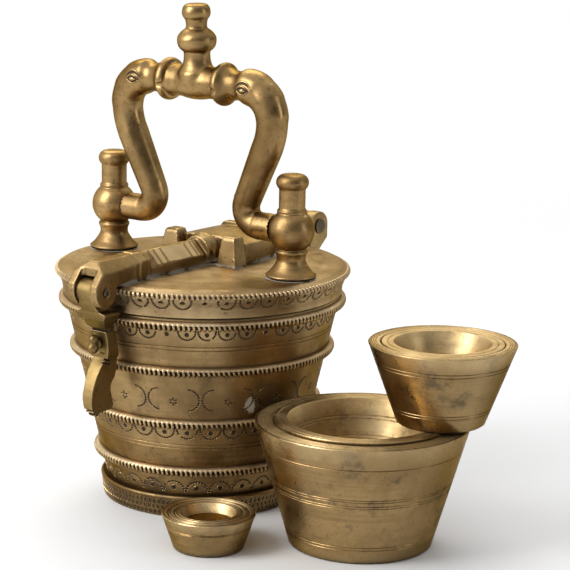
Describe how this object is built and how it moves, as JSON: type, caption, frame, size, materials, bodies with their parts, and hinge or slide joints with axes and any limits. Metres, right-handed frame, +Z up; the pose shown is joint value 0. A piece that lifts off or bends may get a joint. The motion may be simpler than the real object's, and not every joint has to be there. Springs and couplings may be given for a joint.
{
  "type": "nested cup weight",
  "caption": "Lidded brass master cup with a swinging bail, hinged lid and hasp, holding a set of smaller cup weights that nest in one another, part of the set unpacked.",
  "frame": {"origin": "centre of the case's foot, on the surface it stands on", "axes": "+Z up, hasp towards -Y, hinge towards +Y, the bail's pillars on X, the loose cups towards +X"},
  "size_m": [0.2269, 0.1642, 0.2242],
  "materials": {
    "case_brass": "aged, hand worn",
    "strap_brass": "cast, aged",
    "handle_brass": "worn smooth",
    "hasp_brass": "cast, worn bright",
    "cup_brass": "turned, aged",
    "pin_iron": "dark, worn"
  },
  "bodies": {
    "case": {"case_body": "case_brass", "hinge_bracket": "strap_brass", "bracket_rivets": "strap_brass", "hinge_pin": "pin_iron", "cup_1": "cup_brass"},
    "lid": {"lid": "case_brass", "lid_strap": "strap_brass", "strap_rivets": "strap_brass", "left_pillar": "handle_brass", "right_pillar": "handle_brass", "hasp_pin": "pin_iron"},
    "bail": {"bail": "handle_brass"},
    "hasp": {"hasp": "hasp_brass"},
    "knob": {"turn_knob": "hasp_brass"},
    "cup_2": {"cup_2": "cup_brass"},
    "cup_3": {"cup_3": "cup_brass"},
    "cup_4": {"cup_4": "cup_brass"},
    "cup_5": {"cup_5": "cup_brass"},
    "cup_6": {"cup_6": "cup_brass"},
    "cup_7": {"cup_7": "cup_brass"},
    "cup_8": {"cup_8": "cup_brass"},
    "core_weight": {"core_weight": "cup_brass"}
  },
  "joints": [
    {"name": "lid_hinge", "type": "hinge", "parent": "case", "child": "lid", "pos_m": [0, 0.0755, 0.1145], "axis": [-1, 0, 0], "range_deg": [0, 105]},
    {"name": "bail_swing", "type": "hinge", "parent": "lid", "child": "bail", "pos_m": [0, -0.0024, 0.1284], "axis": [1, 0, 0], "range_deg": [-84, 85]},
    {"name": "hasp_swing", "type": "hinge", "parent": "lid", "child": "hasp", "pos_m": [0, -0.075, 0.106], "axis": [-1, 0, 0], "range_deg": [0, 110]},
    {"name": "knob_turn", "type": "hinge", "parent": "hasp", "child": "knob", "pos_m": [0, -0.071, 0.0823], "axis": [0, -1, 0], "range_deg": [0, 90]},
    {"name": "cup_2_lift", "type": "slide", "parent": "case", "child": "cup_2", "axis": [0.7006, -0.096, 0.7071], "range_m": [0, 0.08]},
    {"name": "cup_3_lift", "type": "slide", "parent": "cup_2", "child": "cup_3", "axis": [0.206, -0.0282, 0.9781], "range_m": [0, 0.06]},
    {"name": "cup_4_lift", "type": "slide", "parent": "cup_3", "child": "cup_4", "axis": [0, 0, 1], "range_m": [0, 0.08]},
    {"name": "cup_5_lift", "type": "slide", "parent": "cup_4", "child": "cup_5", "axis": [0, 0, 1], "range_m": [0, 0.05]},
    {"name": "cup_6_lift", "type": "slide", "parent": "case", "child": "cup_6", "axis": [0, -0.5, 0.866], "range_m": [0, 0.06]},
    {"name": "cup_7_lift", "type": "slide", "parent": "cup_6", "child": "cup_7", "axis": [0, 0, 1], "range_m": [0, 0.03]},
    {"name": "cup_8_lift", "type": "slide", "parent": "cup_7", "child": "cup_8", "axis": [0, 0, 1], "range_m": [0, 0.03]},
    {"name": "core_lift", "type": "slide", "parent": "cup_8", "child": "core_weight", "axis": [0, 0, 1], "range_m": [0, 0.025]}
  ]
}
